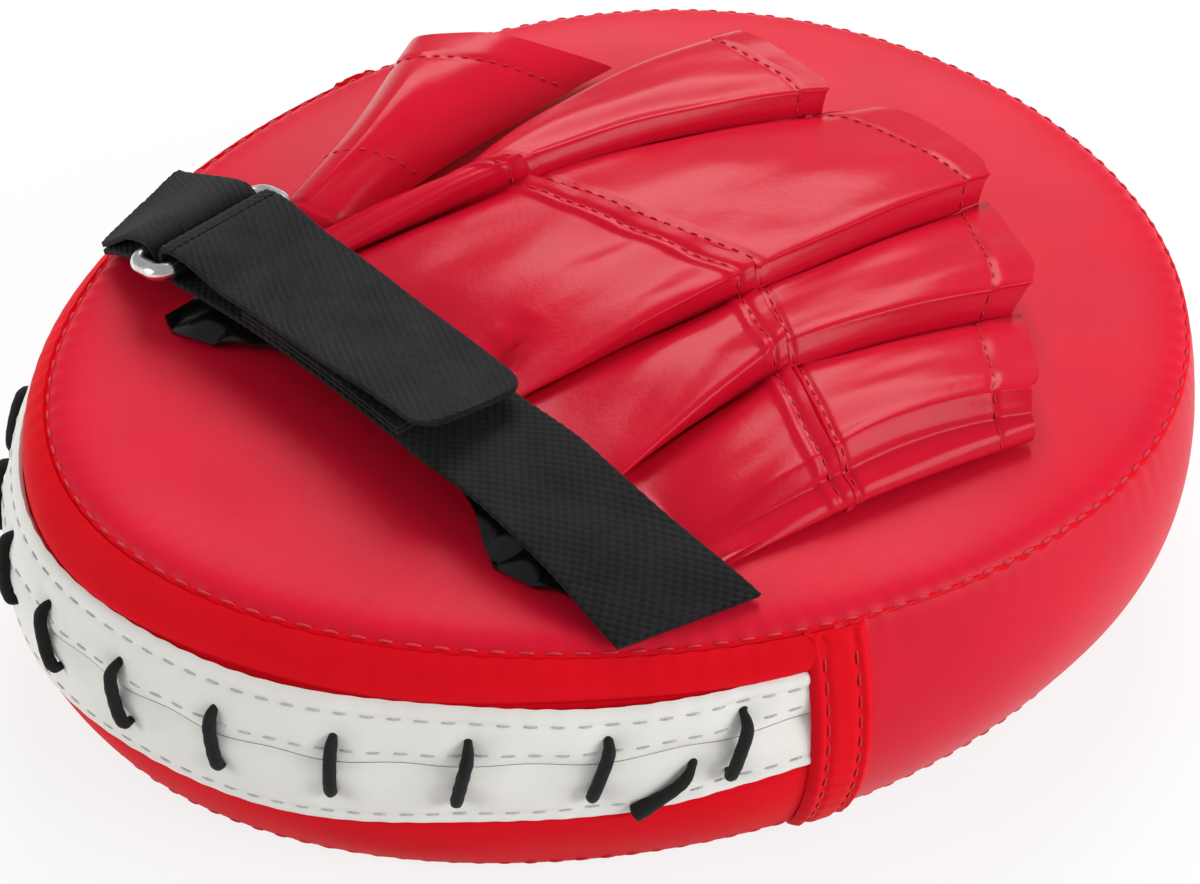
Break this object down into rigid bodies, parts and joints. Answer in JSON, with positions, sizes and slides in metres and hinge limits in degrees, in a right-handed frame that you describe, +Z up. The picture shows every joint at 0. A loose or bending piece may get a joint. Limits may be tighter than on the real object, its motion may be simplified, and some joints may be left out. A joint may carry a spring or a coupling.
{
  "type": "boxing focus mitt",
  "caption": "Oval padded hand target with finger and thumb stalls, laced wrist gusset and a hook-and-loop wrist strap through a wire ring, worn on one hand by a boxing coach.",
  "frame": {"origin": "centre of the overall plan box, on the strike face that the mitt lies on", "axes": "+X to the fingertips, +Y to the thumb side, +Z up out of the back panel"},
  "size_m": [0.252, 0.207, 0.0762],
  "materials": {
    "red_panel": "semi-gloss smooth artificial leather",
    "red_band": "semi-gloss smooth artificial leather",
    "red_stall": "semi-gloss smooth artificial leather, creased",
    "white_strip": "satin artificial leather with stitched hems",
    "black_lining": "gloss coated lining",
    "webbing": "twill-woven webbing",
    "hook_and_loop": "napped hook-and-loop tape",
    "lace": "braided cord",
    "ring_steel": "bright plated wire",
    "foam": "closed-cell foam sheet"
  },
  "bodies": {
    "pad": {"back_panel": "red_panel", "side_band": "red_panel", "strike_panel": "red_band", "wrist_band_upper": "red_band", "wrist_band_lower": "red_band", "seam_lap_near": "red_band", "seam_lap_far": "red_band", "hand_back_panel": "red_stall", "thumb_stall": "red_stall", "index_stall": "red_stall", "middle_stall": "red_stall", "ring_stall": "red_stall", "little_stall": "red_stall", "lace_strip_upper": "white_strip", "lace_strip_lower": "white_strip", "cuff_lining": "black_lining", "strap_base": "webbing", "anchor_webbing": "webbing", "strap_loop_patch": "hook_and_loop", "closure_lace": "lace", "strike_foam": "foam", "core_foam": "foam", "back_foam": "foam"},
    "ring": {"buckle_ring": "ring_steel"},
    "flap": {"strap_flap": "webbing", "strap_hook_patch": "hook_and_loop"}
  },
  "joints": [
    {"name": "flap_peel", "type": "hinge", "parent": "pad", "child": "flap", "pos_m": [-0.06343, 0.03339, 0.0754], "axis": [-0.9658, -0.2593, 0], "range_deg": [0, 165]},
    {"name": "ring_swing", "type": "hinge", "parent": "pad", "child": "ring", "pos_m": [-0.06591, 0.04263, 0.06895], "axis": [0.9658, 0.2593, 0], "range_deg": [-5, 5]}
  ]
}
